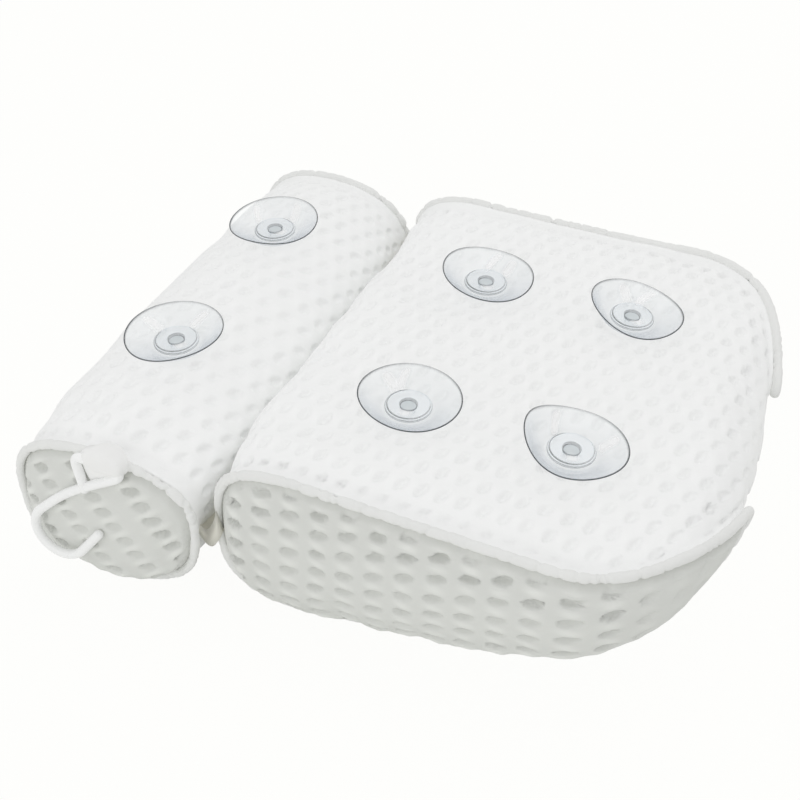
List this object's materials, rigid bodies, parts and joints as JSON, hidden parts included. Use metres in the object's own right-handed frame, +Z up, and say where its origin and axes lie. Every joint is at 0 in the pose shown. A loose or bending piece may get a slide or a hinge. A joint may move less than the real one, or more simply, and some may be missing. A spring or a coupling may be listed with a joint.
{
  "type": "bath pillow",
  "caption": "Two-part mesh bath pillow: a neck roll hinged by a web to a wedge-shaped back pad, with suction cups on the back and a hook to hang it up.",
  "frame": {"origin": "on the flat underside of the back pad, straight below the middle line of the first pair of pad cups", "axes": "+X from the neck roll to the thin end of the pad, +Z up, the way the suction cups face"},
  "size_m": [0.3459, 0.2991, 0.1061],
  "materials": {
    "mesh_fabric": "soft spacer mesh",
    "piping_fabric": "woven",
    "web_fabric": "woven",
    "filling": "soft",
    "clear_soft_plastic": "clear, gloss",
    "clear_hard_plastic": "clear, gloss",
    "white_plastic": "gloss"
  },
  "bodies": {
    "back_pad": {"back_pad_cover": "mesh_fabric", "back_pad_core": "filling", "back_pad_side_panel_near": "mesh_fabric", "back_pad_piping_near": "piping_fabric", "back_pad_side_panel_far": "mesh_fabric", "back_pad_piping_far": "piping_fabric", "fold_web": "web_fabric"},
    "neck_roll": {"neck_roll_cover": "mesh_fabric", "neck_roll_core": "filling", "neck_roll_end_panel_near": "mesh_fabric", "neck_roll_piping_near": "piping_fabric", "neck_roll_end_panel_far": "mesh_fabric", "neck_roll_piping_far": "piping_fabric", "hook_tab": "piping_fabric"},
    "hook": {"hang_hook": "white_plastic"},
    "cup_1": {"suction_cup_1": "clear_soft_plastic", "cup_rivet_1": "clear_hard_plastic", "backing_washer_1": "white_plastic"},
    "cup_2": {"suction_cup_2": "clear_soft_plastic", "cup_rivet_2": "clear_hard_plastic", "backing_washer_2": "white_plastic"},
    "cup_3": {"suction_cup_3": "clear_soft_plastic", "cup_rivet_3": "clear_hard_plastic", "backing_washer_3": "white_plastic"},
    "cup_4": {"suction_cup_4": "clear_soft_plastic", "cup_rivet_4": "clear_hard_plastic", "backing_washer_4": "white_plastic"},
    "cup_5": {"suction_cup_5": "clear_soft_plastic", "cup_rivet_5": "clear_hard_plastic", "backing_washer_5": "white_plastic"},
    "cup_6": {"suction_cup_6": "clear_soft_plastic", "cup_rivet_6": "clear_hard_plastic", "backing_washer_6": "white_plastic"}
  },
  "joints": [
    {"name": "neck_fold", "type": "hinge", "parent": "back_pad", "child": "neck_roll", "pos_m": [-0.0725, 0, 0.04888], "axis": [0, 1, 0], "range_deg": [-26, 28]},
    {"name": "hook_swing", "type": "hinge", "parent": "neck_roll", "child": "hook", "pos_m": [-0.11935, -0.1431, 0.08874], "axis": [-0.997, 0, 0.0773], "range_deg": [0, 210]},
    {"name": "cup_spin_1", "type": "hinge", "parent": "back_pad", "child": "cup_1", "pos_m": [0, -0.0596, 0.09344], "axis": [0, 0, 1], "continuous": true},
    {"name": "cup_spin_2", "type": "hinge", "parent": "back_pad", "child": "cup_2", "pos_m": [0.0803, -0.0596, 0.09345], "axis": [0, 0, 1], "continuous": true},
    {"name": "cup_spin_3", "type": "hinge", "parent": "back_pad", "child": "cup_3", "pos_m": [0, 0.0496, 0.09347], "axis": [0, 0, 1], "continuous": true},
    {"name": "cup_spin_4", "type": "hinge", "parent": "back_pad", "child": "cup_4", "pos_m": [0.0803, 0.0496, 0.09347], "axis": [0, 0, 1], "continuous": true},
    {"name": "cup_spin_5", "type": "hinge", "parent": "neck_roll", "child": "cup_5", "pos_m": [-0.1265, -0.0596, 0.09516], "axis": [0, 0, 1], "continuous": true},
    {"name": "cup_spin_6", "type": "hinge", "parent": "neck_roll", "child": "cup_6", "pos_m": [-0.1265, 0.0496, 0.09552], "axis": [0, 0, 1], "continuous": true}
  ]
}
